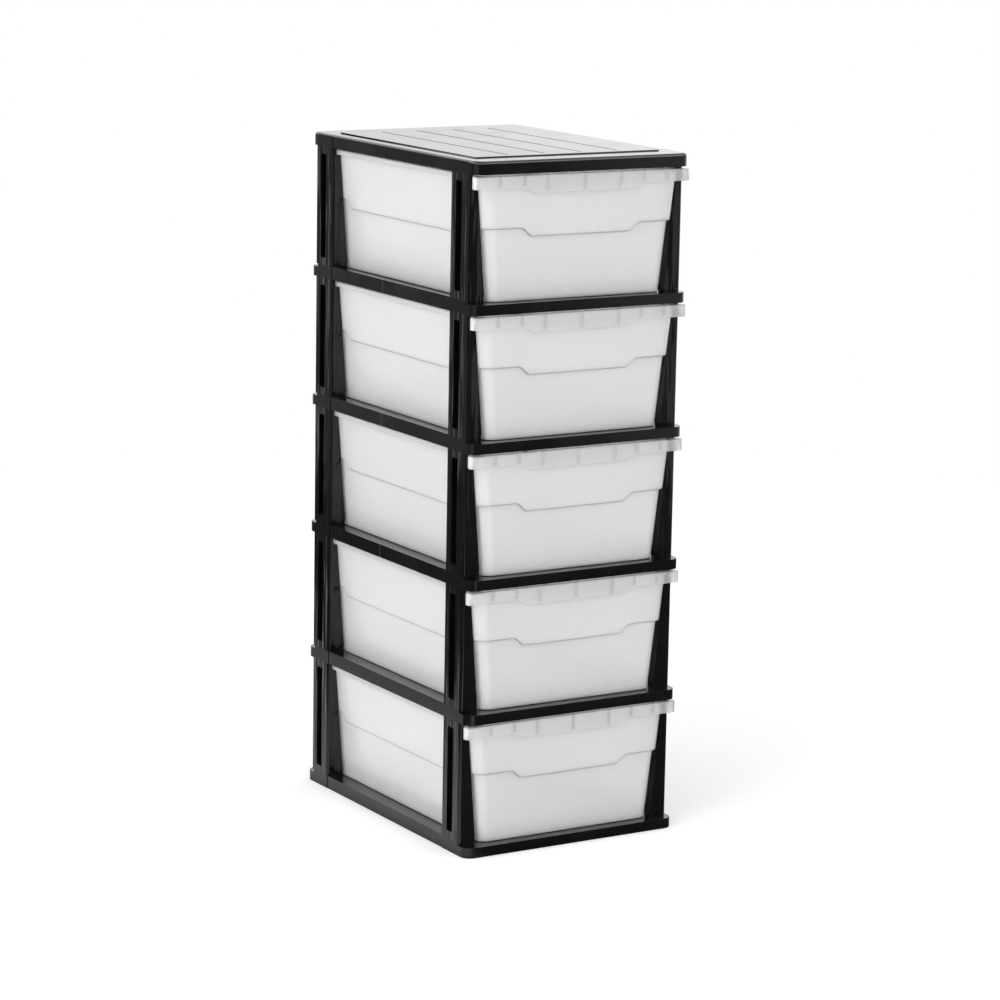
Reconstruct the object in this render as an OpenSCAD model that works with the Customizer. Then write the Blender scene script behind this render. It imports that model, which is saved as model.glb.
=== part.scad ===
// Five-tier plastic drawer tower: stacked shelf frames on corner posts, with pull-out drawers.
// Millimetres, +Z up, front of the tower towards -Y, origin under the middle of the base.

/* [Tower] */
// Width over the corner posts
tower_w = 280; // [240:1:360]
// Depth over the corner posts, front face to rear edge
post_depth = 350; // [300:1:420]
// Height of one tier, shelf underside to shelf underside
pitch = 154; // [130:1:200]
// How far the shelves and the lid reach past the posts, front and rear
overhang = 16.5; // [12:0.5:24]
// Distance of the joint between the shelf halves behind the middle
seam_offset = 15.5; // [0:0.5:40]

/* [Shelf frame] */
// Height of the side rails and corner blocks
rail_h = 15.2; // [14:0.1:20]
// Height of the ledge that the drawer slides on
ledge_h = 11.8; // [9.5:0.1:12.5]
// Width of the ledge along each side
side_ledge = 52; // [35:1:70]
// Width of the ledge along the front and the rear
end_ledge = 46; // [36:1:70]
// Wall of the shelf frame
shelf_wall = 2.6; // [2:0.1:3.5]
// Radius of the shelf corners seen from above
shelf_r = 12; // [6:0.5:16]
// How far the corner blocks stand proud of the side rails
block_proud = 0.6; // [0.3:0.1:1.2]
// Thickness of a corner block, inwards
block_t = 9; // [8:0.5:12]
// Thickness of the stiffening ribs under the ledge
rib_t = 1.8; // [1.2:0.1:2.5]
// Greatest distance between two ribs under the ledge
rib_pitch = 52; // [30:1:80]
// Height of the ribs' lower edge above the shelf underside
rib_lift = 2; // [1:0.5:4]

/* [Half joint] */
// Width of the tongue that joins the shelf halves
tongue_w = 24; // [12:1:28]
// Thickness of the tongue
tongue_t = 4; // [2:0.1:5]
// Length of the tongue past the joint
tongue_l = 15; // [8:0.5:25]
// Gap round a tongue or a tenon
joint_gap = 0.3; // [0.15:0.05:0.5]

/* [Posts] */
// Width of a post leg, front to rear
leg_w = 37; // [32:0.5:45]
// Wall of a post
post_wall = 2.6; // [2:0.1:3.2]
// Radius of a post's outer front edge
post_r = 4; // [3:0.5:6]
// Width of the post flange at its foot
flange_w = 22.1; // [18:0.1:28]
// Depth of the return along the flange's inner edge
flange_return = 8; // [4:0.5:12]
// Thickness of the return along the flange's inner edge
return_t = 2; // [1.5:0.1:3]
// Thickness of a post leg above the flange, where the drawer rim passes
neck_t = 5.2; // [5:0.1:5.8]
// Depth of the box behind the long slot
box_t = 10.5; // [7:0.1:10.8]
// Width of the long slot
slot_w = 12.4; // [8:0.1:13]
// Radius of the slot's corners
slot_r = 2; // [1:0.25:3.5]
// Distance of the slot's middle from the post's front face
slot_at = 21; // [19:0.1:22]
// Solid post left above and below the slot
slot_end = 8.5; // [7.5:0.1:14]
// Wall behind and beside the slot
box_wall = 1.5; // [1:0.1:2]
// Height of the stepped foot of the flange
foot_h = 7.8; // [4:0.1:12]
// Depth of the step above the foot of the flange
foot_step = 0.7; // [0.4:0.1:1]
// Diameter of the round mould mark on the flange
mark_d = 3.6; // [2:0.1:5]
// Depth of the round mould mark
mark_depth = 0.3; // [0.2:0.05:0.5]

/* [Post tenons] */
// Width of a tenon
tenon_w = 14; // [8:0.5:16]
// Thickness of a tenon
tenon_t = 3.2; // [2:0.1:3.4]
// Length of a tenon
tenon_l = 5.5; // [3:0.1:6]
// Distance of a tenon from the post's outer face
tenon_at = 1.6; // [1.4:0.1:1.8]
// Room past the end of a tenon
tenon_room = 0.5; // [0.3:0.1:0.6]

/* [Lid] */
// Height of the lid with its raised panel
lid_h = 16; // [14:0.5:22]
// Wall of the lid
lid_wall = 2.6; // [2:0.1:3.5]
// Radius of the lid corners seen from above
lid_r = 14; // [8:0.5:16]
// Radius of the lid's rounded top edge
lid_edge_r = 4; // [2:0.5:6]
// Height of the raised panel
panel_h = 1.2; // [0.4:0.1:1.5]
// Distance of the raised panel from the lid's sides
panel_side = 20; // [14:1:40]
// Distance of the raised panel from the lid's front and rear
panel_end = 37; // [20:1:60]
// Number of grooves along the panel
groove_count = 4; // [1:1:6]
// Width of a groove
groove_w = 2.4; // [0.8:0.1:3]
// Depth of a groove
groove_depth = 1; // [0.4:0.1:1.2]
// Distance of a groove's ends from the panel's edges
groove_end = 12; // [4:1:30]

/* [Drawer] */
// Wall of the drawer
drawer_wall = 2; // [1.6:0.1:3]
// Lean of the drawer sides and of the post flanges, degrees
side_draft = 4.8; // [3.5:0.1:5]
// Lean of the drawer's front and rear walls, degrees
end_draft = 2.95; // [1.5:0.05:3.2]
// Radius of the drawer's upright corners
drawer_r = 15; // [8:0.5:30]
// Radius of the drawer's bottom edge
floor_r = 3; // [2:0.25:5]
// How much larger the drawer's upper part is, each side
wall_step = 2.6; // [1.5:0.1:3]
// Height of the step above the shelf underside, between the corners
step_low = 83.5; // [60:0.5:100]
// How much the step line rises at the corners
step_rise = 9.6; // [4:0.2:16]
// Distance of the step line's rise from the drawer's middle, on the sides
side_dip = 119; // [60:1:125]
// Length of the slanted part of the step line on the sides
dip_run = 15; // [8:0.5:25]

/* [Drawer rim] */
// Thickness of the rim plate
rim_t = 1.8; // [1.4:0.1:2.2]
// Wall of the lips that hang from the rim
lip_t = 1.6; // [1.2:0.1:2]
// Height of the lip along the sides and the rear
lip_h = 5.5; // [4:0.1:6]
// Width of the rim at the rear, past the wall
rear_rim = 4.4; // [3:0.1:8]
// Distance of the rim in front of the shelf's rear edge
rear_inset = 7.3; // [3:0.1:20]
// Height of the front skirt at its ends
skirt_h = 13.7; // [10:0.1:20]
// How much lower the skirt hangs in the middle, at the hand grip
grip_drop = 6.1; // [3:0.1:12]
// Half length of the hand grip, and of the low middle of the step line above it
grip_half = 62; // [40:1:66]
// Length of the slope between the skirt's ends and its middle
grip_run = 16; // [8:0.5:20]
// Depth of the skirt's side returns, front to rear
skirt_return = 8; // [6:0.5:10]
// Radius of the skirt's upright corners
skirt_r = 5; // [3:0.5:5]
// Distance of the skirt behind the shelf front
skirt_inset = 0.7; // [0.4:0.1:2]
// Gap between the skirt and the drawer's front wall, at the rim
skirt_gap = 1.7; // [1:0.1:4]
// Thickness of the gussets behind the skirt
gusset_t = 1.6; // [1:0.1:2.5]
// Distance of the outer gussets from the skirt's ends
gusset_end = 31; // [26:1:36]
// Distance of the inner gussets from the grip's ends
gusset_grip = 14; // [8:1:30]

/* [Running clearances] */
// Gap between the drawer and each post flange
side_gap = 0.8; // [0.5:0.1:1.5]
// Gap between the drawer's floor and the ledge
floor_gap = 0.3; // [0.2:0.05:0.6]
// Gap between the rim and the shelf above
rim_gap = 2.3; // [1.5:0.1:4]
// Gap between the rim and the post necks
neck_gap = 1.4; // [0.8:0.1:2]
// Gap between the rim's lip and the post flanges below it
lip_gap = 1.4; // [0.8:0.1:3]

/* [Hidden] */
tiers = 5;
levels = [for (level = [1:tiers - 1]) level];
ends = ["front", "rear"];
sides = ["left", "right"];

black = [0.06, 0.06, 0.065];
milk = [0.88, 0.89, 0.9];
curve_segments = 6;
drawer_corner_steps = 8;
lid_corner_steps = 12;
// overlap given to unions and cuts
cut = 1;

half_w = tower_w / 2;
half_d = post_depth / 2;
reach = half_d + overhang;
front_y = -reach;
rear_post_y = half_d - leg_w;
side_draft_rate = tan(side_draft);
end_draft_rate = tan(end_draft);

opening_half_w = half_w - side_ledge;
opening_front = front_y + end_ledge;
plate_z = ledge_h - shelf_wall;
ledge_mid_x = half_w - side_ledge / 2;
ledge_span = side_ledge - shelf_wall;

floor_z = ledge_h + floor_gap;
rim_z = pitch - rim_gap;
rim_half_w = half_w - neck_t - neck_gap;
skirt_y = front_y + skirt_inset;
skirt_back = skirt_y + skirt_return;
skirt_z = rim_z - skirt_h;
step_high = step_low + step_rise;
front_slope = [grip_half, grip_half + grip_run];
side_slope = [side_dip, side_dip + dip_run];

neck_z = rim_z - lip_h - lip_gap;
flange_top_w = flange_w - (neck_z - ledge_h) * side_draft_rate;
box_w = slot_w + 2 * box_wall;

// Half the drawer's outer width at height z above the shelf underside; step is the upper part's extra.
function drawer_half_w(z, step) =
    half_w - flange_w - side_gap - wall_step + step + (z - ledge_h) * side_draft_rate;
// How far the drawer's ends stand in from where they meet the rim.
function end_inset(z, step) = wall_step - step + (rim_z - z) * end_draft_rate;
function drawer_front(z, step) = skirt_y + lip_t + skirt_gap + end_inset(z, step);
function drawer_rear(z, step) = reach - rear_inset - rear_rim - end_inset(z, step);

// Outline of a box with round upright corners at height z: one corner's arc after the other.
function rounded_ring(x, y0, y1, r, z, arc_steps) = [
    for (corner = [0:3], i = [0:arc_steps])
        let (angle = 90 * (corner + i / arc_steps),
             cx = (corner == 0 || corner == 3) ? x - r : r - x,
             cy = corner < 2 ? y1 - r : y0 + r)
        [cx + r * cos(angle), cy + r * sin(angle), z]
];

// A smooth slope from point a to point b, level at both ends.
function slope(a, b) = [
    for (i = [0:curve_segments])
        let (t = i / curve_segments)
        [a[0] + (b[0] - a[0]) * t, a[1] + (b[1] - a[1]) * (1 - cos(180 * t)) / 2]
];

// A closed solid through rings of equal length, from the lowest to the highest.
module loft(rings) {
    n = len(rings[0]);
    points = [for (ring = rings) each ring];
    walls = [
        for (band = [0:len(rings) - 2], i = [0:n - 1])
            let (a = band * n + i, b = band * n + (i + 1) % n)
            each [[a, b + n, b], [a, a + n, b + n]]
    ];
    floor_face = [for (i = [0:n - 1]) i];
    top_face = [for (i = [n - 1:-1:0]) (len(rings) - 1) * n + i];
    polyhedron(points, concat(walls, [floor_face, top_face]));
}

// Flat shape with its two front corners rounded.
module front_rounded(x, y0, y1, r) {
    translate([r - x, y0]) square([2 * (x - r), y1 - y0]);
    translate([-x, y0 + r]) square([2 * x, y1 - y0 - r]);
    for (side = [-1, 1]) translate([side * (x - r), y0 + r]) circle(r, $fn = 64);
}

// A flat XZ shape made solid from y0 to y1.
module along_y(y0, y1) {
    translate([0, y1, 0]) rotate([90, 0, 0]) linear_extrude(y1 - y0) children();
}

// A flat YZ shape made solid from x0 to x1.
module along_x(x0, x1) {
    translate([x0, 0, 0]) rotate([90, 0, 90]) linear_extrude(x1 - x0) children();
}

// ---- corner posts ----

// Section of a post seen from above: a leg along the side and a flange across the front.
module post_section() {
    difference() {
        post_outline(0, flange_w, post_r);
        post_outline(post_wall, flange_w + cut, max(post_r - post_wall, mark_depth));
    }
}

module post_outline(inset, width, r) {
    translate([inset + r, inset]) square([width - inset - r, leg_w + cut]);
    translate([inset, inset + r]) square([width - inset, leg_w + cut - r]);
    translate([inset + r, inset + r]) circle(r, $fn = 48);
}

// Everything a post may fill, seen from the front.
module post_front_shape() {
    polygon([
        [0, rail_h], [block_t, rail_h], [block_t, ledge_h], [flange_w, ledge_h],
        [flange_top_w, neck_z], [neck_t, neck_z], [neck_t, pitch], [0, pitch]
    ]);
}

// Stiffening return that follows the flange's slanted inner edge.
module flange_return_shape() {
    polygon([
        [flange_w - return_t, ledge_h], [flange_w, ledge_h],
        [flange_top_w, neck_z], [flange_top_w - return_t, neck_z]
    ]);
}

module slot_box(t, z0, z1) {
    translate([0, slot_at - box_w / 2, z0]) cube([t, box_w, z1 - z0]);
}

module slot_pocket(t, z0, z1) {
    y0 = slot_at - slot_w / 2;
    along_x(-cut, t - box_wall) {
        translate([y0 + slot_r, z0]) square([slot_w - 2 * slot_r, z1 - z0]);
        translate([y0, z0 + slot_r]) square([slot_w, z1 - z0 - 2 * slot_r]);
        for (y = [y0 + slot_r, y0 + slot_w - slot_r], z = [z0 + slot_r, z1 - slot_r])
            translate([y, z]) circle(slot_r, $fn = 32);
    }
}

// The tenons at a post's two ends; with a gap all round and room past the end, their sockets.
module tenons(gap, room) {
    long = tenon_l + room + gap;
    for (z = [rail_h - tenon_l - room, pitch - gap])
        translate([tenon_at - gap, slot_at - tenon_w / 2 - gap, z])
            cube([tenon_t + 2 * gap, tenon_w + 2 * gap, long]);
}

// Upright wall across a post leg at distance y from its front face.
module leg_rib(y, depth) {
    translate([0, y, rail_h]) cube([neck_t, depth, pitch - rail_h]);
}

// One post, outer front edge on the Z axis, leg towards +Y and flange towards +X.
module post_shape() {
    difference() {
        union() {
            intersection() {
                translate([0, 0, ledge_h]) linear_extrude(pitch - ledge_h) post_section();
                along_y(0, leg_w) post_front_shape();
            }
            along_y(0, flange_return) flange_return_shape();
            slot_box(box_t, rail_h, neck_z);
            leg_rib(slot_at - box_w / 2, box_w);
            leg_rib(leg_w - post_wall, post_wall);
            tenons(0, 0);
        }
        slot_pocket(box_t, rail_h + slot_end, neck_z - box_wall);
        slot_pocket(neck_t, rail_h + slot_end, pitch - slot_end);
        // the foot steps back from the flange's face and inner edge
        translate([block_t, -cut, ledge_h - cut]) cube([flange_w, cut + foot_step, cut + foot_h]);
        along_y(-cut, flange_return + cut) polygon([
            [flange_w - foot_step, ledge_h - cut], [flange_w + cut, ledge_h - cut],
            [flange_w + cut, ledge_h + foot_h], [flange_w - foot_step, ledge_h + foot_h]
        ]);
        // mould mark half way up the flange
        translate([flange_w / 3, mark_depth, (rail_h + pitch) / 2]) rotate([90, 0, 0])
            cylinder(h = mark_depth + cut, d = mark_d, $fn = 32);
    }
}

// Moves a post shape to its corner; right-hand posts are mirror images.
module at_corner(end, side) {
    mirror([side == "right" ? 1 : 0, 0, 0])
        translate([-half_w, end == "front" ? -half_d : rear_post_y, 0])
            children();
}

module post(tier, end, side) {
    color(black) translate([0, 0, (tier - 1) * pitch]) at_corner(end, side) post_shape();
}

// ---- shelf frames ----

// One corner block, outer front edge rounded like the post's.
module corner_block(h) {
    linear_extrude(h) {
        translate([post_r, 0]) square([block_t - post_r, leg_w]);
        translate([0, post_r]) square([block_t, leg_w - post_r]);
        translate([post_r, post_r]) circle(post_r, $fn = 48);
    }
}

// Plan of half a shelf: narrower along the rail, full width at the blocks and the overhang.
module half_plan(seam) {
    front_rounded(half_w, front_y, leg_w - half_d, shelf_r);
    translate([block_proud - half_w, leg_w - half_d - cut])
        square([2 * (half_w - block_proud), seam + half_d - leg_w + cut]);
}

module half_plan_inner(seam, inset) {
    front_rounded(half_w - inset, front_y + inset, seam + cut, shelf_r - inset);
}

module opening_plan(seam, grow) {
    translate([-opening_half_w - grow, opening_front - grow])
        square([2 * (opening_half_w + grow), seam - opening_front + cut + grow]);
}

// Upright wall under each side ledge, from y on.
module side_ledge_walls(y, t, z0, z1) {
    for (side = [-1, 1])
        translate([side * ledge_mid_x - ledge_span / 2, y, z0]) cube([ledge_span, t, z1 - z0]);
}

// Ribs under the ledge, evenly spaced between the joint and the front wall.
module ledge_ribs(seam) {
    side_run = seam - opening_front;
    side_ribs = ceil(side_run / rib_pitch);
    for (i = [0:side_ribs - 1])
        side_ledge_walls(opening_front + i * side_run / side_ribs - rib_t / 2, rib_t, rib_lift, plate_z);
    end_ribs = ceil(2 * opening_half_w / rib_pitch);
    for (i = [0:end_ribs])
        translate([opening_half_w * (2 * i / end_ribs - 1) - rib_t / 2, front_y + shelf_wall / 2, rib_lift])
            cube([rib_t, end_ledge - shelf_wall, plate_z - rib_lift]);
}

// Half a shelf with its open end at y = seam, before the joint and the sockets.
module half_body(seam) {
    linear_extrude(ledge_h) difference() {
        half_plan(seam);
        half_plan_inner(seam, shelf_wall);
    }
    translate([0, 0, plate_z]) linear_extrude(shelf_wall) difference() {
        half_plan(seam);
        opening_plan(seam, 0);
    }
    linear_extrude(plate_z + shelf_wall / 2) intersection() {
        half_plan(seam);
        difference() {
            opening_plan(seam, shelf_wall);
            opening_plan(seam, 0);
        }
    }
    ledge_ribs(seam);
    side_ledge_walls(seam - shelf_wall, shelf_wall, 0, plate_z + shelf_wall / 2);
    // side rails
    for (side = [-1, 1])
        translate([side * (half_w - block_proud - shelf_wall / 2) - shelf_wall / 2, leg_w - half_d - cut, 0])
            cube([shelf_wall, seam + half_d - leg_w + cut, rail_h]);
}

// Tongues of the front half; with a gap, the windows for them in the rear half.
module tongues(gap) {
    root = gap > 0 ? cut : shelf_wall;
    z = (plate_z - tongue_t) / 2 - gap;
    for (side = [-1, 1])
        translate([side * ledge_mid_x - tongue_w / 2 - gap, seam_offset - root, z])
            cube([tongue_w + 2 * gap, root + tongue_l + gap, tongue_t + 2 * gap]);
}

module shelf_half(level, end) {
    front = end == "front";
    color(black) translate([0, 0, level * pitch]) difference() {
        union() {
            mirror([0, front ? 0 : 1, 0]) half_body(front ? seam_offset : -seam_offset);
            for (side = sides) block_at(end, side) corner_block(rail_h);
            if (front) tongues(0);
        }
        if (!front) tongues(joint_gap);
        for (side = sides) {
            at_corner(end, side) tenons(joint_gap, tenon_room);
            if (level > 0)
                translate([0, 0, -pitch]) at_corner(end, side) tenons(joint_gap, tenon_room);
        }
    }
}

// A block stands under its post; the rear one is turned so that its round edge faces the rear.
module block_at(end, side) {
    mirror([side == "right" ? 1 : 0, 0, 0])
        mirror([0, end == "front" ? 0 : 1, 0])
            translate([-half_w, -half_d, 0]) children();
}

// ---- lid ----

// Rounded plate with a rounded top edge.
module lid_shell(h) {
    function ring(z, tuck) = rounded_ring(
        half_w - tuck, tuck - reach, reach - tuck, lid_r - tuck, z, lid_corner_steps
    );
    loft(concat(
        [ring(0, 0)],
        [for (angle = [0:15:75])
            ring(h - lid_edge_r * (1 - sin(angle)), lid_edge_r * (1 - cos(angle)))],
        [ring(h, lid_edge_r)]
    ));
}

module lid_plan(inset) {
    x = half_w - inset;
    y = reach - inset;
    r = lid_r - inset;
    square([2 * (x - r), 2 * y], center = true);
    square([2 * x, 2 * (y - r)], center = true);
    for (side = [-1, 1], end = [-1, 1]) translate([side * (x - r), end * (y - r)]) circle(r, $fn = 64);
}

module lid() {
    panel_x = half_w - panel_side;
    panel_y = reach - panel_end;
    groove_gap = 2 * panel_x / (groove_count + 1);
    rim_h = lid_h - panel_h;
    plate_bottom = rim_h - lid_wall;
    rib_count = ceil(post_depth / (2 * rib_pitch));
    rib_gap = post_depth / (rib_count + 1);
    color(black) translate([0, 0, tiers * pitch]) difference() {
        union() {
            difference() {
                lid_shell(rim_h);
                translate([0, 0, -cut]) linear_extrude(plate_bottom + cut) lid_plan(lid_wall);
                // the sides are set back a little between the corner blocks
                for (side = [-1, 1]) translate([side * half_w, 0, rim_h / 2])
                    cube([2 * block_proud, 2 * (half_d - leg_w), rim_h + cut], center = true);
            }
            translate([-panel_x, -panel_y, plate_bottom + lid_wall / 2])
                cube([2 * panel_x, 2 * panel_y, panel_h + lid_wall / 2]);
            for (end = ends, side = sides) block_at(end, side) corner_block(plate_bottom + lid_wall / 2);
            for (i = [1:rib_count])
                translate([lid_wall / 2 - half_w, i * rib_gap - half_d - rib_t / 2, rim_h / 2])
                    cube([tower_w - lid_wall, rib_t, rim_h / 2 - lid_wall / 2]);
        }
        for (i = [1:groove_count])
            translate([i * groove_gap - panel_x - groove_w / 2, groove_end - panel_y, lid_h - groove_depth])
                cube([groove_w, 2 * (panel_y - groove_end), groove_depth + cut]);
        for (end = ends, side = sides) translate([0, 0, -pitch])
            at_corner(end, side) tenons(joint_gap, tenon_room);
    }
}

// ---- drawers ----

// Solid of the drawer's body from the floor to height top, shrunk by inset, with a rounded bottom edge.
module drawer_body(step, inset, bottom, top, edge_r) {
    function ring(z, tuck) = rounded_ring(
        drawer_half_w(z, step) - inset - tuck,
        drawer_front(z, step) + inset + tuck,
        drawer_rear(z, step) - inset - tuck,
        drawer_r - inset, z, drawer_corner_steps
    );
    loft(concat(
        [for (angle = [0, 30, 60]) ring(bottom + edge_r * (1 - cos(angle)), edge_r * (1 - sin(angle)))],
        [ring(bottom + edge_r, 0), ring(top, 0)]
    ));
}

// Everything above the step line: higher at the corners than along the walls.
module above_step(lift) {
    low = step_low + lift;
    high = step_high + lift;
    translate([-half_w, -reach, high]) cube([tower_w, 2 * reach, pitch]);
    along_y(-reach, reach) polygon(dip_outline(front_slope, low, high));
    along_x(-half_w, half_w) polygon(dip_outline(side_slope, low, high));
}

// A dip between two slopes; slope_at holds the distances where a slope starts and ends.
function dip_outline(slope_at, low, high) = concat(
    slope([-slope_at[1], high], [-slope_at[0], low]),
    slope([slope_at[0], low], [slope_at[1], high]),
    [[slope_at[1], high + cut], [-slope_at[1], high + cut]]
);

// Plan of the rim behind the skirt, as wide as the post necks allow.
module rim_plan(inset) {
    x = rim_half_w - inset;
    rear_y = reach - rear_inset - inset;
    r = drawer_r - inset;
    translate([-x, skirt_back - cut]) square([2 * x, rear_y - r - skirt_back + cut]);
    translate([r - x, 0]) square([2 * (x - r), rear_y]);
    for (side = [-1, 1]) translate([side * (x - r), rear_y - r]) circle(r, $fn = 64);
}

module skirt_plan(inset, back) {
    front_rounded(half_w - inset, skirt_y + inset, back, skirt_r - inset);
}

// Front skirt with the lower grip in the middle.
module skirt() {
    low = skirt_z - grip_drop;
    wide = half_w + cut;
    outline = concat(
        [[-wide, rim_z], [-wide, skirt_z]],
        slope([-front_slope[1], skirt_z], [-front_slope[0], low]),
        slope([front_slope[0], low], [front_slope[1], skirt_z]),
        [[wide, skirt_z], [wide, rim_z]]
    );
    intersection() {
        translate([0, 0, low - cut]) linear_extrude(rim_z - low + cut) difference() {
            skirt_plan(0, skirt_back);
            skirt_plan(lip_t, skirt_back + cut);
        }
        along_y(skirt_y - cut, skirt_back + cut) polygon(outline);
    }
}

// Small upright plates between the skirt and the drawer's front wall.
module gussets() {
    outer = half_w - gusset_end;
    middle = front_slope[1];
    inner = grip_half - gusset_grip;
    y0 = skirt_y + lip_t / 2;
    y1 = drawer_front(skirt_z, wall_step) + drawer_wall / 2;
    for (x = [-outer, -middle, -inner, 0, inner, middle, outer])
        translate([x - gusset_t / 2, y0, skirt_z + gusset_t])
            cube([gusset_t, y1 - y0, skirt_h - gusset_t - rim_t / 2]);
}

module drawer(tier) {
    top = rim_z - rim_t / 2;
    color(milk) translate([0, 0, (tier - 1) * pitch]) difference() {
        union() {
            drawer_body(0, 0, floor_z, top, floor_r);
            intersection() {
                drawer_body(wall_step, 0, floor_z, top, floor_r);
                above_step(0);
            }
            translate([0, 0, rim_z - rim_t]) linear_extrude(rim_t) {
                rim_plan(0);
                skirt_plan(0, skirt_back);
            }
            translate([0, 0, rim_z - lip_h]) linear_extrude(lip_h) difference() {
                rim_plan(0);
                rim_plan(lip_t);
            }
            skirt();
            gussets();
        }
        drawer_body(0, drawer_wall, floor_z + drawer_wall, rim_z + cut, floor_r);
        intersection() {
            drawer_body(wall_step, drawer_wall, floor_z + drawer_wall, rim_z + cut, floor_r);
            above_step(drawer_wall);
        }
    }
}

for (end = ends) {
    shelf_half(0, end);
}
for (level = levels, end = ends) {
    shelf_half(level, end);
}
for (tier = [1:tiers], end = ends, side = sides) {
    post(tier, end, side);
}
for (tier = [1:tiers]) {
    drawer(tier);
}
lid();
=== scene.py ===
import math

import bmesh
import bpy
from mathutils import Matrix, Vector


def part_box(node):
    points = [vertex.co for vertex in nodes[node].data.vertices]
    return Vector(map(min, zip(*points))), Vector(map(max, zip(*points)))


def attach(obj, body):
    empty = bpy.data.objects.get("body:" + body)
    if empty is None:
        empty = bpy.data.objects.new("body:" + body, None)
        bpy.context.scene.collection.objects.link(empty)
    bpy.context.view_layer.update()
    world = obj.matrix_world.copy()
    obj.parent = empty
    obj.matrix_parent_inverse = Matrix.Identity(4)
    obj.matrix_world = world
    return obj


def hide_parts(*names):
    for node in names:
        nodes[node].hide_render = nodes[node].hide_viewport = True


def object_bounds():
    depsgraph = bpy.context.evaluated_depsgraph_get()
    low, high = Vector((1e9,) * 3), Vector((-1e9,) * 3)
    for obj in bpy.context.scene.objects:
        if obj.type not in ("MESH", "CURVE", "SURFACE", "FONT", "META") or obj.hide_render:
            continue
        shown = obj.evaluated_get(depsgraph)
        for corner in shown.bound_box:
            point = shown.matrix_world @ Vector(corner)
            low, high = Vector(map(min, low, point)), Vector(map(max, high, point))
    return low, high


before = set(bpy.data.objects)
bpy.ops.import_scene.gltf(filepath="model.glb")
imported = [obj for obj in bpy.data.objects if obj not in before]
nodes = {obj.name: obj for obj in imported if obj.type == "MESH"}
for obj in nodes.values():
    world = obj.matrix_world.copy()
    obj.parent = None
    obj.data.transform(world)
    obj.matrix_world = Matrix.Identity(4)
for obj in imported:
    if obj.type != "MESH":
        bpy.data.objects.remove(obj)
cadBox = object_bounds()
mm = 0.001

tiers = range(1, 6)
levels = range(1, 5)
ends = ("front", "rear")
sides = ("left", "right")
shelfHalves = [f"base_{end}" for end in ends]
shelfHalves += [f"shelf_{level}_{end}" for level in levels for end in ends]
posts = [f"post_{tier}_{end}_{side}" for tier in tiers for end in ends for side in sides]
print("frame loaded:", len(nodes), "nodes")


class Socket:  # one output of a shader node, so that maths on it reads as plain Python
    def __init__(self, tree, output):
        self.tree = tree
        self.output = output

    def __add__(self, other):
        return self.tree.maths("ADD", self, other)

    def __sub__(self, other):
        return self.tree.maths("SUBTRACT", self, other)

    def __rsub__(self, other):
        return self.tree.maths("SUBTRACT", other, self)

    def __mul__(self, other):
        return self.tree.maths("MULTIPLY", self, other)

    def __mod__(self, other):
        return self.tree.maths("MODULO", self, other)

    def __abs__(self):
        return self.tree.maths("ABSOLUTE", self)

    __radd__ = __add__
    __rmul__ = __mul__

    def between(self, low, high):  # 0 at low, 1 at high, smooth on the way
        inputs = {"Value": self, "From Min": low, "From Max": high}
        return self.tree.add("ShaderNodeMapRange", {"interpolation_type": "SMOOTHSTEP"}, inputs)


class ShaderTree:  # the nodes of one material or of the world
    def __init__(self, owner):
        owner.use_nodes = True
        self.nodes = owner.node_tree.nodes
        self.links = owner.node_tree.links
        self.nodes.clear()

    def add(self, kind, settings=None, inputs=None, output=0):
        node = self.nodes.new(kind)
        for name, value in (settings or {}).items():
            setattr(node, name, value)
        for name, value in (inputs or {}).items():
            if isinstance(value, Socket):
                self.links.new(value.output, node.inputs[name])
            else:
                node.inputs[name].default_value = value
        return Socket(self, node.outputs[output]) if len(node.outputs) else None

    def maths(self, operation, first, second=0):
        return self.add("ShaderNodeMath", {"operation": operation}, {0: first, 1: second})

    def split(self, vector):
        node = self.add("ShaderNodeSeparateXYZ", {}, {"Vector": vector}).output.node
        return [Socket(self, output) for output in node.outputs]

    def noise(self, place, size, detail, distortion=0.0):  # size of the blotches in metres
        inputs = {"Vector": place, "Scale": 1 / size, "Detail": detail, "Distortion": distortion}
        return self.add("ShaderNodeTexNoise", {}, inputs)

    def mix(self, amount, low, high):
        return self.add("ShaderNodeMix", {"data_type": "RGBA"}, {0: amount, 6: low, 7: high}, 2)


print("helpers ready")

camera = {
    "place": (-2.0721, -3.4539, 1.1648),
    "azimuth": -31.112,  # degrees, 0 looks along +Y
    "elevation": 11.215,
    "roll": 1.034,
    "lens": 126.34,  # mm
    "sensor": 36,  # mm
}


def makeCamera():
    azimuth, elevation, roll = (math.radians(camera[name]) for name in ("azimuth", "elevation", "roll"))
    back = Vector((
        math.sin(azimuth) * math.cos(elevation),
        -math.cos(azimuth) * math.cos(elevation),
        math.sin(elevation),
    ))
    right = Vector((math.cos(azimuth), math.sin(azimuth), 0))
    up = back.cross(right)
    turned = Matrix((right, up, back)).transposed() @ Matrix.Rotation(roll, 3, "Z")
    data = bpy.data.cameras.new("camera")
    data.lens = camera["lens"]
    data.sensor_width = camera["sensor"]
    eye = bpy.data.objects.new("camera", data)
    eye.matrix_world = Matrix.Translation(camera["place"]) @ turned.to_4x4()
    bpy.context.scene.collection.objects.link(eye)
    bpy.context.scene.camera = eye


makeCamera()
print("camera ready")

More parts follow.
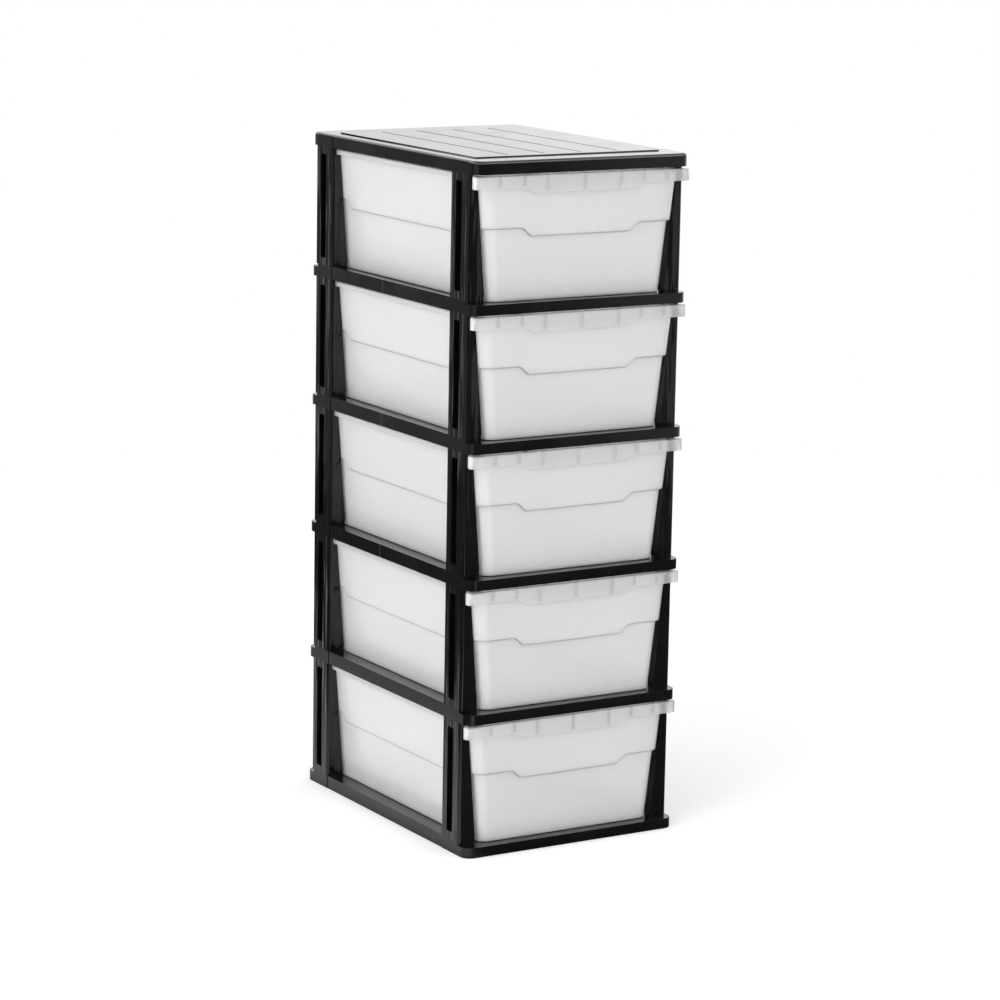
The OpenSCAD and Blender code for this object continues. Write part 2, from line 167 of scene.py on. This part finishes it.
gloss = {  # sizes in metres
    "colour": (0.0025, 0.0025, 0.0028, 1),
    "worn": (0.0045, 0.0045, 0.0048, 1),
    "wornFrom": (0.4, 0.7),  # where on the cloud noise the worn colour starts and is full
    "roughness": (0.05, 0.11),
    "roughFrom": (0.35, 0.7),
    "grainRoughness": 0.06,  # what the grain adds
    "ior": 1.5,
    "cloud": 0.05,  # size of the patches where the finish changes
    "wave": 0.022,  # size of the moulding's faint waves
    "grain": 0.0006,
    "sink": 0.009,  # width of the upright sink marks
    "sinkStretch": (1, 1, 0.12),
    "heights": {"wave": 0.014, "grain": 0.0007, "sink": 0.02, "postSink": 1.5},  # mm
    "seamBand": (0.035, 0.035, 0.035, 1),  # a lighter band where the halves of a shelf meet
    "seamBandWidth": 0.0014,
    "seamBandCore": 0.7,  # share of the band's width at full strength
    "seamBandRoughness": 0.5,
}


def glossPlastic(name, sinkHeight, seam=None):  # seam is the y where the halves of a shelf meet
    material = bpy.data.materials.new(name)
    tree = ShaderTree(material)
    place = tree.add("ShaderNodeTexCoord", output="Object")
    cloud = tree.noise(place, gloss["cloud"], 4)
    grain = tree.noise(place, gloss["grain"], 2)
    wave = tree.noise(place, gloss["wave"], 1)
    stretch = {0: place, 1: gloss["sinkStretch"]}
    upright = tree.add("ShaderNodeVectorMath", {"operation": "MULTIPLY"}, stretch)
    sink = tree.noise(upright, gloss["sink"], 1)
    heights = gloss["heights"]
    height = wave * heights["wave"] + grain * heights["grain"] + sink * sinkHeight
    low, high = gloss["roughness"]
    rough = cloud.between(*gloss["roughFrom"])
    roughness = rough * (high - low) + grain * gloss["grainRoughness"] + low
    colour = tree.mix(cloud.between(*gloss["wornFrom"]), gloss["colour"], gloss["worn"])
    if seam is not None:
        away = abs(tree.split(place)[1] - seam)
        half = gloss["seamBandWidth"] / 2
        onSeamBand = 1 - away.between(half * gloss["seamBandCore"], half)
        colour = tree.mix(onSeamBand, colour, gloss["seamBand"])
        roughness = roughness + onSeamBand * gloss["seamBandRoughness"]
    surface = tree.add("ShaderNodeBsdfPrincipled", {}, {
        "Base Color": colour,
        "Roughness": roughness,
        "IOR": gloss["ior"],
        "Normal": tree.add("ShaderNodeBump", {}, {"Strength": 1.0, "Distance": mm, "Height": height}),
    })
    tree.add("ShaderNodeOutputMaterial", {}, {"Surface": surface})
    return material


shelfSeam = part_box("shelf_1_rear")[0].y
shelfPlastic = glossPlastic("black gloss plastic with a seam", gloss["heights"]["sink"], shelfSeam)
lidPlastic = glossPlastic("black gloss plastic", gloss["heights"]["sink"])
postPlastic = glossPlastic("black gloss plastic with sink marks", gloss["heights"]["postSink"])
print("black plastic ready")

smoothing = {"sharpAngle": 35}  # degrees


def finishPiece(name, bm, materials, body, replaced):
    mesh = bpy.data.meshes.new(name)
    bm.to_mesh(mesh)
    bm.free()
    mesh.materials.clear()
    for material in materials:
        mesh.materials.append(material)
    mesh.shade_smooth()
    mesh.set_sharp_from_angle(angle=math.radians(smoothing["sharpAngle"]))
    piece = bpy.data.objects.new(name, mesh)
    bpy.context.scene.collection.objects.link(piece)
    weighted = piece.modifiers.new("even normals", "WEIGHTED_NORMAL")
    weighted.keep_sharp = True
    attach(piece, body)
    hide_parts(replaced)


moulding = {
    "edge": {"shelf": 0.6, "post": 0.6, "lid": 0.12},  # how far the edges are cut back, mm
    "sharp": 30,  # degrees, edges that turn by more are softened
    "flat": 0.5,  # degrees, faces that turn by less are made one
}


def mouldedFrom(name, cutBack):  # a fixed part of the frame with its edges softened
    bm = bmesh.new()
    bm.from_mesh(nodes[name].data)
    bmesh.ops.remove_doubles(bm, verts=bm.verts, dist=1e-6)
    flat, sharp = math.radians(moulding["flat"]), math.radians(moulding["sharp"])
    bmesh.ops.dissolve_limit(bm, angle_limit=flat, verts=bm.verts, edges=bm.edges)
    outer = [
        edge for edge in bm.edges
        if edge.is_manifold and edge.is_convex and edge.calc_face_angle() > sharp
    ]
    bmesh.ops.bevel(
        bm, geom=outer, offset=cutBack * mm, affect="EDGES",
        segments=2, profile=0.5, material=-1, clamp_overlap=True,
    )
    return bm


frameParts = {
    "shelf": (shelfHalves, shelfPlastic),
    "post": (posts, postPlastic),
    "lid": (["lid"], lidPlastic),
}
for kind, (names, plastic) in frameParts.items():
    for name in names:
        bm = mouldedFrom(name, moulding["edge"][kind])
        finishPiece(f"moulded_{name}", bm, [plastic], "frame", name)
print("frame mouldings ready")

drawer = {  # millimetres and degrees
    "wall": 2.0,
    "foot": 25.5,  # how far the side walls stand in from the skirt's ends, at the floor
    "sideDraft": 4.8,
    "endDraft": 2.95,
    "cornerRadius": 15.0,
    "step": 2.6,  # how much larger the upper part is
    "stepLow": 71.4,  # height of the step line above the floor
    "stepRise": 9.6,
    "lineFade": 1.8,  # how far above the step its painted shade fades out
    "rimPlate": 1.8,
    "lip": 1.6,
    "lipDrop": 5.5,
    "lipShade": 0.3,  # how much of the step's painted shade the lip gets
    "neck": 6.6,  # how far the rim's sides stand in from the skirt's ends
    "neckRun": 21.0,  # how far behind the skirt's front the rim's corner points start
    "rearRim": 4.4,
    "skirtGap": 1.7,
    "skirtDrop": 13.7,
    "skirtReturn": 8.0,
    "skirtRadius": 5.0,
    "skirtFlat": 11.0,  # from the skirt's round corner to the next point on its front
    "gripDrop": 6.1,
    "gripHalf": 62.0,
    "gripRun": 16.0,
    "flatEnd": 92.0,  # the last point of the front and rear walls before the corners
    "sideDip": 119.0,
    "sideDipRun": 15.0,
    "gussets": (0.0, 48.0, 78.0, 109.0),
    "gussetWidth": 4.2,
    "gussetShort": 2.2,  # how far a gusset ends above the skirt's edge
    "blur": 0.2,  # how softly the skirt's and the gussets' shades end
    "floorEdge": (1.2, 6),  # the round edges' radius and number of points
    "softEdge": (0.8, 4),
    "stepEdge": (0.6, 4),
    "lipEdge": (0.4, 3),
    "points": {"grip": 6, "run": 9, "side": 17, "corner": 13},
}
drawerLow, drawerHigh = (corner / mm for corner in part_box("drawer_1"))
rimTop = drawerHigh.z - drawerLow.z
skirtHalf = drawerHigh.x
skirtFront = drawerLow.y
skirtRear = skirtFront + drawer["lip"]
rimRear = drawerHigh.y
rimHalf = skirtHalf - drawer["neck"]
sideRate = math.tan(math.radians(drawer["sideDraft"]))
endRate = math.tan(math.radians(drawer["endDraft"]))


def along(first, last, count):  # evenly spaced numbers, both ends included
    return [first + (last - first) * i / (count - 1) for i in range(count)]


# angles from the side wall to the front wall, closer together where the rim turns out to the skirt
frontCornerAngles = (0, 7.5, 15, 22.5, 30, 37.5, 45, 57, 63, 69, 76, 83, 90)
lastOnSide = 6  # the last of them at which the rim is still at the side
skirtTurn = along(0, 90, len(frontCornerAngles) - lastOnSide - 3)  # angles round the skirt's corner


def halfStations():  # half of the drawer's outline, from the middle of the rear to the middle of the front
    points = drawer["points"]
    grip, gripEnd = drawer["gripHalf"], drawer["gripHalf"] + drawer["gripRun"]
    dip, dipEnd = drawer["sideDip"], drawer["sideDip"] + drawer["sideDipRun"]
    across = along(0, grip, points["grip"])[:-1] + along(grip, gripEnd, points["run"])
    across.append(drawer["flatEnd"])
    back = along(dipEnd, dip, points["run"])
    down = back + along(dip, -dip, points["side"])[1:-1] + [-y for y in reversed(back)]
    return (
        [("rear", x) for x in across]
        + [("rearCorner", angle) for angle in along(0, 90, points["corner"])]
        + [("side", y) for y in down]
        + [("frontCorner", k) for k in range(len(frontCornerAngles))]
        + [("front", x) for x in reversed(across)]
    )


leftHalf = halfStations()
stations = [(zone, value, -1) for zone, value in leftHalf]
stations += [(zone, value, 1) for zone, value in reversed(leftHalf[1:-1])]


def wallPoint(station, height, step, inset):  # a point on the drawer's walls
    zone, value, side = station
    half = skirtHalf - drawer["foot"] + step + height * sideRate - inset
    lean = drawer["step"] - step + (rimTop - height) * endRate + inset
    front = skirtRear + drawer["skirtGap"] + lean
    rear = rimRear - drawer["rearRim"] - lean
    radius = drawer["cornerRadius"] - inset
    if zone == "rear":
        return side * value, rear
    if zone == "side":
        return side * half, value
    if zone == "front":
        return side * value, front
    angle = math.radians(value if zone == "rearCorner" else frontCornerAngles[value])
    if zone == "rearCorner":
        return side * (half - radius + radius * math.sin(angle)), rear - radius + radius * math.cos(angle)
    return side * (half - radius + radius * math.cos(angle)), front + radius - radius * math.sin(angle)


def rimPoint(station, inset):  # a point on the outline of the rim and the skirt
    zone, value, side = station
    half, rear, front = rimHalf - inset, rimRear - inset, skirtFront + inset
    if zone == "rear":
        return side * value, rear
    if zone == "side":
        return side * half, value
    if zone == "front":
        return side * value, front
    if zone == "rearCorner":
        radius = drawer["cornerRadius"] - inset
        angle = math.radians(value)
        return side * (half - radius + radius * math.sin(angle)), rear - radius + radius * math.cos(angle)
    returnRear = skirtFront + drawer["skirtReturn"] - inset
    if value <= lastOnSide:
        return side * half, along(skirtFront + drawer["neckRun"], returnRear, lastOnSide + 1)[value]
    if value == lastOnSide + 1:
        return side * (skirtHalf - inset), returnRear
    middle = skirtHalf - drawer["skirtRadius"]
    if value == len(frontCornerAngles) - 1:
        return side * (middle - drawer["skirtFlat"]), front
    radius = drawer["skirtRadius"] - inset
    angle = math.radians(skirtTurn[value - lastOnSide - 2])
    y = skirtFront + drawer["skirtRadius"] - radius * math.sin(angle)
    return side * (middle + radius * math.cos(angle)), y


def onSkirt(station):
    zone, value, _ = station
    return zone == "front" or (zone == "frontCorner" and value > lastOnSide)


def rise(distance, start, run):  # 0 before start, 1 after start + run, level at both ends
    t = min(max((distance - start) / run, 0), 1)
    return (1 - math.cos(math.pi * t)) / 2


def stepLine(station):  # height of the step, which is lower at the middle of each wall
    zone, value, _ = station
    up = 1
    if zone in ("front", "rear"):
        up = rise(value, drawer["gripHalf"], drawer["gripRun"])
    elif zone == "side":
        up = rise(abs(value), drawer["sideDip"], drawer["sideDipRun"])
    return drawer["stepLow"] + up * drawer["stepRise"]


def lipBottom(station):  # height of the lower edge of the lip and the skirt
    zone, value, _ = station
    drop = drawer["skirtDrop"] if onSkirt(station) else drawer["lipDrop"]
    if zone == "front":
        drop += drawer["gripDrop"] * (1 - rise(value, drawer["gripHalf"], drawer["gripRun"]))
    return rimTop - drop


def quarterRound(radius, count):  # (tuck, lift) pairs from a round edge's start to its end
    angles = along(0, math.pi / 2, count)
    return [(radius * (1 - math.cos(angle)), radius * math.sin(angle)) for angle in angles]


def drawerRings():  # the places of the rings, and the numbers of those on the step and on the lip, which get painted shade
    wall, step, lip = (drawer[name] for name in ("wall", "step", "lip"))
    edges = ("floorEdge", "softEdge", "stepEdge", "lipEdge")
    floorRound, softRound, stepRound, lipRound = (quarterRound(*drawer[name]) for name in edges)
    floorRadius, soft, stepEdge, lipEdge = (drawer[name][0] for name in edges)
    under = rimTop - drawer["rimPlate"]
    rings = []

    def onWall(height, out, inset):
        rings.append(lambda at: (*wallPoint(at, height, out, inset), height))

    def onStep(lift, out, inset=0.0):
        rings.append(lambda at: (*wallPoint(at, stepLine(at) + lift, out, inset), stepLine(at) + lift))

    def onRim(height, inset):
        rings.append(lambda at: (*rimPoint(at, inset), height))

    def onLip(lift, inset):
        rings.append(lambda at: (*rimPoint(at, inset), lipBottom(at) + lift))

    # outside: bottom edge, step with its rounded underside, and the fillet under the rim
    for tuck, lift in reversed(floorRound):
        onWall(floorRadius - lift, 0, tuck)
    outerStep = len(rings)
    for tuck, lift in stepRound:
        onStep(lift - stepEdge, tuck)
    for tuck, lift in reversed(stepRound):
        onStep(stepEdge - lift, step - tuck)
    onStep(drawer["lineFade"], step)
    shadedRings = {*range(outerStep + 1, len(rings) - 1)}
    for tuck, lift in softRound:
        onWall(under - soft + lift, step, -tuck)
    # rim and lip
    for tuck, lift in reversed(lipRound):
        onRim(under - lipEdge + lift, lip + tuck)
    firstLip = len(rings)
    for tuck, lift in lipRound:
        onLip(lipEdge - lift, lip - tuck)
    for tuck, lift in reversed(lipRound):
        onLip(lipEdge - lift, tuck)
    for tuck, lift in lipRound:
        onRim(rimTop - lipEdge + lift, tuck)
    lips = {*range(firstLip, len(rings))}
    # inside, from the rim down to the floor
    for tuck, lift in reversed(softRound):
        onWall(rimTop - soft + lift, step, wall - tuck)
    innerStep = len(rings)
    for tuck, lift in stepRound:
        onStep(wall + stepEdge - lift, step - tuck, wall)
    for tuck, lift in reversed(stepRound):
        onStep(wall + lift - stepEdge, tuck, wall)
    shadedRings.update(range(innerStep + 1, len(rings) - 1))
    for tuck, lift in floorRound:
        onWall(wall + floorRadius - lift, 0, wall + tuck)
    return rings, shadedRings, lips


def drawerShell():  # a ring of points grown from the floor's underside over the rim to the floor's inside
    bm = bmesh.new()
    station = bm.verts.layers.int.new("station")
    tint = bm.verts.layers.float.new("tint")
    bmesh.ops.create_circle(bm, segments=len(stations), radius=1, cap_ends=True)
    for vert in bm.verts:
        turn = math.atan2(-vert.co.x, vert.co.y) % (2 * math.pi)
        vert[station] = round(turn * len(stations) / (2 * math.pi)) % len(stations)
    ring = list(bm.edges)
    rings, shadedRings, lips = drawerRings()
    for number, place in enumerate(rings):
        if number:
            grown = bmesh.ops.extrude_edge_only(bm, edges=ring)["geom"]
            ring = [part for part in grown if isinstance(part, bmesh.types.BMEdge) and part.is_boundary]
        for vert in {vert for edge in ring for vert in edge.verts}:
            at = stations[vert[station]]
            vert.co = Vector(place(at))
            # painted shade: full on the step's rings, lighter on the lip away from the skirt
            vert[tint] = float(number in shadedRings)
            if number in lips and not onSkirt(at):
                vert[tint] = drawer["lipShade"]
    bmesh.ops.contextual_create(bm, geom=ring)
    bmesh.ops.recalc_face_normals(bm, faces=bm.faces)
    return bm


def gussetLow(x):  # height of a gusset's lower end above the floor
    return lipBottom(("front", x, 1)) + drawer["gussetShort"]


def gussetPlates():  # small upright plates between the skirt and the front wall
    bm = bmesh.new()
    high = rimTop - drawer["rimPlate"] / 2
    front = skirtFront + drawer["lip"] / 2
    rear = skirtRear + drawer["skirtGap"] + drawer["wall"] / 2
    for x in sorted({side * x for x in drawer["gussets"] for side in (-1, 1)}):
        low = gussetLow(abs(x))
        size = drawer["gussetWidth"], rear - front, high - low
        middle = x, (front + rear) / 2, (low + high) / 2
        bmesh.ops.create_cube(bm, size=1, matrix=Matrix.LocRotScale(middle, None, size))
    return bm


def plainObject(name, bm):
    mesh = bpy.data.meshes.new(name)
    bm.to_mesh(mesh)
    bm.free()
    plain = bpy.data.objects.new(name, mesh)
    bpy.context.scene.collection.objects.link(plain)
    return plain


def drawerWhole():  # shell and gussets as one closed mesh, in mm, with its floor at height 0
    shell = plainObject("shell", drawerShell())
    plates = plainObject("plates", gussetPlates())
    union = shell.modifiers.new("union", "BOOLEAN")
    union.operation = "UNION"
    union.solver = "EXACT"
    union.object = plates
    bpy.context.view_layer.update()
    whole = shell.evaluated_get(bpy.context.evaluated_depsgraph_get())
    bm = bmesh.new()
    bm.from_mesh(whole.data)
    for helper in (shell, plates):
        bpy.data.objects.remove(helper)
    slack = 0.01
    floorTop = drawer["wall"] + drawer["floorEdge"][0] + slack
    for face in bm.faces:
        face.material_index = int(all(vert.co.z < floorTop for vert in face.verts))
    return bm


milk = {  # sizes in metres
    "colour": (0.996, 0.996, 0.996, 1),
    "cloudy": (0.984, 0.985, 0.986, 1),
    "cloudyFrom": (0.35, 0.75),  # where on the cloud noise the cloudy colour starts and is full
    "line": (0.55, 0.55, 0.56, 1),  # painted shade along the step, where the wall steps out, and on the lip
    "roughness": (0.46, 0.54),
    "roughFrom": (0.3, 0.7),
    "cloud": 0.06,
    "cloudTwist": 0.4,
    "grain": 0.0009,
    "bump": 0.25,
    "bumpDepth": 0.0003,
    "heights": {"cloud": 0.8, "grain": 0.1},  # shares of the bump's depth
    "clear": {"wall": 0.56, "floor": 0.1, "skirt": 0.8, "gusset": 0.5},  # how much light each lets through
    # painted shade: how much darker each part's plastic is drawn
    "shade": {"wall": 1.0, "floor": 1.0, "skirt": 0.97, "gusset": 0.7},
    "ior": 1.17,
    "coatRoughness": 0.2,
}


def milkySurface(tree, place, part):
    cloud = tree.noise(place, milk["cloud"], 4, milk["cloudTwist"])
    grain = tree.noise(place, milk["grain"], 2)
    # painted shade from the drawer's own attribute, on the step and the lip
    tint = tree.add("ShaderNodeAttribute", {"attribute_name": "tint"}, output="Fac")
    shade = milk["shade"][part]
    colour, cloudy = ([shade * value for value in milk[name][:3]] + [1] for name in ("colour", "cloudy"))
    clouded = tree.mix(cloud.between(*milk["cloudyFrom"]), colour, cloudy)
    low, high = milk["roughness"]
    bump = tree.add("ShaderNodeBump", {}, {
        "Strength": milk["bump"],
        "Distance": milk["bumpDepth"],
        "Height": cloud * milk["heights"]["cloud"] + grain * milk["heights"]["grain"],
    })
    return tree.add("ShaderNodeBsdfPrincipled", {}, {
        "Base Color": tree.mix(tint, clouded, milk["line"]),
        "Roughness": cloud.between(*milk["roughFrom"]) * (high - low) + low,
        "IOR": milk["ior"],
        "Transmission Weight": milk["clear"][part],
        "Coat Weight": 1.0,
        "Coat Roughness": milk["coatRoughness"],
        "Normal": bump,
    })


def skirtMask(tree, place):  # 1 on the skirt
    y, blur = tree.split(place)[1], drawer["blur"]
    return 1 - y.between((skirtRear + blur) * mm, (skirtRear + 2 * blur) * mm)


def gussetMask(tree, place):  # 1 on the skirt in front of a gusset, drawn as denser plastic with painted shade
    x, _, z = tree.split(place)
    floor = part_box("drawer_1")[0].z
    height = (z - floor) % (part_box("drawer_2")[0].z - floor)  # above the floor of its own drawer
    half, blur = drawer["gussetWidth"] / 2, drawer["blur"]
    bars = []
    for centre in drawer["gussets"]:
        low = gussetLow(centre)
        across = 1 - abs(abs(x) - centre * mm).between((half - blur) * mm, (half + blur) * mm)
        bars.append(across * height.between((low - blur) * mm, (low + blur) * mm))
    return sum(bars) * skirtMask(tree, place)


def milkyPlastic(part, masks):  # masks tell where it turns into other parts' plastic
    material = bpy.data.materials.new(f"milky plastic, {part}")
    tree = ShaderTree(material)
    place = tree.add("ShaderNodeTexCoord", output="Object")
    surface = milkySurface(tree, place, part)
    for other, mask in masks.items():
        inputs = {0: mask(tree, place), 1: surface, 2: milkySurface(tree, place, other)}
        surface = tree.add("ShaderNodeMixShader", {}, inputs)
    tree.add("ShaderNodeOutputMaterial", {}, {"Surface": surface})
    return material


milkyWall = milkyPlastic("wall", {"skirt": skirtMask, "gusset": gussetMask})
milkyFloor = milkyPlastic("floor", {})
drawerShape = drawerWhole()
for tier in tiers:
    name = f"drawer_{tier}"
    bm = drawerShape.copy()
    bmesh.ops.scale(bm, vec=(mm, mm, mm), verts=bm.verts)
    bmesh.ops.translate(bm, vec=(0, 0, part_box(name)[0].z), verts=bm.verts)
    finishPiece(f"moulded_{name}", bm, [milkyWall, milkyFloor], name, name)
drawerShape.free()
print("drawers ready:", len(stations), "points round each")


def rayKinds(tree):  # 1 on rays from the camera, on rays through the plastic, and on mirrored rays
    seen = tree.add("ShaderNodeLightPath", output="Is Camera Ray")
    outputs = seen.output.node.outputs
    through = Socket(tree, outputs["Is Transmission Ray"])
    return seen, through, Socket(tree, outputs["Is Glossy Ray"]) * (1 - through)


floorPlate = {  # metres
    "radius": 2.2,
    "drop": 0.0003,
    "points": 96,
    "colour": (0.9, 0.9, 0.9, 1),
    "dark": (0.08, 0.08, 0.08, 1),  # painted dark reflection: the floor as the gloss mirrors it, away from the lit strip
    "strip": {"start": (-0.7, -0.2), "end": (-0.16, -0.1)},  # x where the lit strip begins and ends
    "lift": 0.2,  # white added for the camera, so that only the shadow shows
    "through": 0.2,  # painted light: white added where the floor shows through the drawers' walls
    "right": (-0.3, 1),  # x where that white begins to fade and is gone
    # painted shade on the floor where it shows through the drawers on the right
    "rightDark": 0.3,
}


def floorMaterial():
    material = bpy.data.materials.new("floor")
    tree = ShaderTree(material)
    seen, through, mirrored = rayKinds(tree)
    x = tree.split(tree.add("ShaderNodeTexCoord", output="Object"))[0]
    strip = floorPlate["strip"]
    lit = x.between(*strip["start"]) * (1 - x.between(*strip["end"]))
    right = through * x.between(*floorPlate["right"])
    dark = mirrored * (1 - lit) + right * floorPlate["rightDark"]
    colour = tree.mix(dark, floorPlate["colour"], floorPlate["dark"])
    matte = tree.add("ShaderNodeBsdfDiffuse", {}, {"Color": colour})
    lift = seen * floorPlate["lift"] + (through - right) * floorPlate["through"]
    white = tree.add("ShaderNodeEmission", {}, {"Color": (1, 1, 1, 1), "Strength": lift})
    both = tree.add("ShaderNodeAddShader", {}, {0: matte, 1: white})
    tree.add("ShaderNodeOutputMaterial", {}, {"Surface": both})
    return material


def makeFloor():
    bm = bmesh.new()
    radius, points = floorPlate["radius"], floorPlate["points"]
    bmesh.ops.create_circle(bm, segments=points, radius=radius, cap_ends=True)
    bmesh.ops.translate(bm, vec=(0, 0, -floorPlate["drop"]), verts=bm.verts)
    floor = plainObject("floor", bm)
    floor.data.materials.append(floorMaterial())


room = {  # by direction, from -1 to 1: x to the right, y to the rear, z up
    "ambient": 0.9,
    "lean": 0.2,  # how much more light comes from the left than from the middle
    "backdrop": 0.8,  # how much more light comes through the drawers from the wall behind
    "backdropStart": (0, 0.6),  # y
    "backdropEnd": {"x": (0.3, 0.6), "share": 1.8},
    # the rest is what the gloss mirrors
    "dim": 0.10,  # the room in front
    "rear": (-0.3, 0.4),  # y where the room in front turns into the wall behind
    "rearSteps": ((-0.49, -0.40, 0.35), (-0.4, 0.4, 0.5), (0.4, 0.65, 0.5)),  # from x, to x, how much
    "rearLeast": 0.1,
    "above": (0.2, 0.7),  # z
    "ceiling": {"start": (0.35, 0.5), "end": (0.7, 0.85), "power": 2.5},  # z
    "window": {"end": (-0.9, -0.7), "power": 0.45},  # x
    "panel": {"start": (0.532, 0.539), "power": 0.4},  # x
}


def makeWorld():
    world = bpy.data.worlds.new("studio")
    world.cycles.sampling_method = "NONE"  # so that reflections see the room as it is drawn for them
    bpy.context.scene.world = world
    tree = ShaderTree(world)
    x, y, z = tree.split(tree.add("ShaderNodeTexCoord", output="Generated"))
    seen, through, mirrored = rayKinds(tree)
    left, middle, right = (x.between(low, high) * power for low, high, power in room["rearSteps"])
    rear = y.between(*room["rear"])
    behind = rear * (left + middle + right + room["rearLeast"])
    ceiling, window, panel = room["ceiling"], room["window"], room["panel"]
    lights = z.between(*ceiling["start"]) * (1 - z.between(*ceiling["end"])) * ceiling["power"]
    above = z.between(*room["above"]) + lights
    ahead = 1 - rear
    shine = ahead * (1 - x.between(*window["end"])) * window["power"]
    strip = ahead * x.between(*panel["start"]) * panel["power"]
    gleam = behind + above * (1 - behind) + shine + strip + room["dim"]
    cut = 1 - x.between(*room["backdropEnd"]["x"]) * room["backdropEnd"]["share"]
    backdrop = through * y.between(*room["backdropStart"]) * cut * room["backdrop"]
    plain = room["ambient"] - x * room["lean"] + backdrop
    strength = seen + (1 - seen) * ((1 - mirrored) * plain + mirrored * gleam)
    light = tree.add("ShaderNodeBackground", {}, {"Color": (1, 1, 1, 1), "Strength": strength})
    tree.add("ShaderNodeOutputWorld", {}, {"Surface": light})


lamps = {  # metres and watts
    "key": {"from": (-2.4, -1.0, 1.35), "size": (1.6, 2.5), "power": 30},
    "fill": {"from": (1.8, -2.6, 1.8), "size": (1.2, 1.2), "power": 15},
}


def makeLamp(name, lamp):
    data = bpy.data.lights.new(name, "AREA")
    data.shape = "RECTANGLE"
    data.size, data.size_y = lamp["size"]
    data.energy = lamp["power"]
    light = bpy.data.objects.new(name, data)
    target = Vector((0, 0, cadBox[1][2] / 2))
    place = Vector(lamp["from"])
    aim = (target - place).to_track_quat("-Z", "Y")
    light.matrix_world = Matrix.Translation(place) @ aim.to_matrix().to_4x4()
    light.visible_glossy = False  # the gloss shows the room alone
    bpy.context.scene.collection.objects.link(light)


makeFloor()
makeWorld()
for name, lamp in lamps.items():
    makeLamp(name, lamp)
bpy.context.scene.view_settings.view_transform = "Standard"
print("studio ready")
